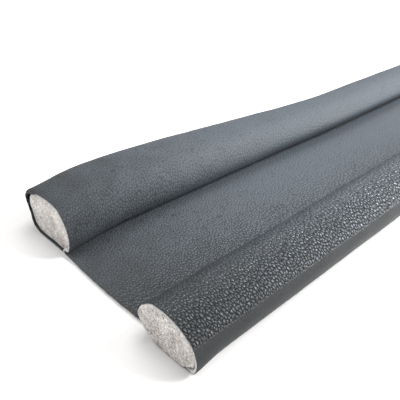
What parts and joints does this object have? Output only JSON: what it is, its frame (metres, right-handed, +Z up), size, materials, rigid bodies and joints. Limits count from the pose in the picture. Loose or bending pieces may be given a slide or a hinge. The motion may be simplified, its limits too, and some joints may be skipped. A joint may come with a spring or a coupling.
{
  "type": "door draught excluder",
  "caption": "Under-door draught excluder: a faux-leather sheet with a foam-filled roll along each side of a flat strip that lies on the floor under the door.",
  "frame": {"origin": "centre of the bounding box in plan, on the floor that the strip and both rolls lie on", "axes": "+X along the rolls and the door, from the end seen in the picture to the end out of view; +Y across the door from the near roll to the far one; +Z up"},
  "size_m": [0.762, 0.1262, 0.0235],
  "materials": {
    "faux_leather": "slate-grey polyurethane faux leather with a pebbled grain, on a pale textile backing",
    "foam": "light-grey foam, cut across its end, matte"
  },
  "bodies": {
    "root": {"cover": "faux_leather", "near_core": "foam", "far_core": "foam"}
  },
  "joints": []
}
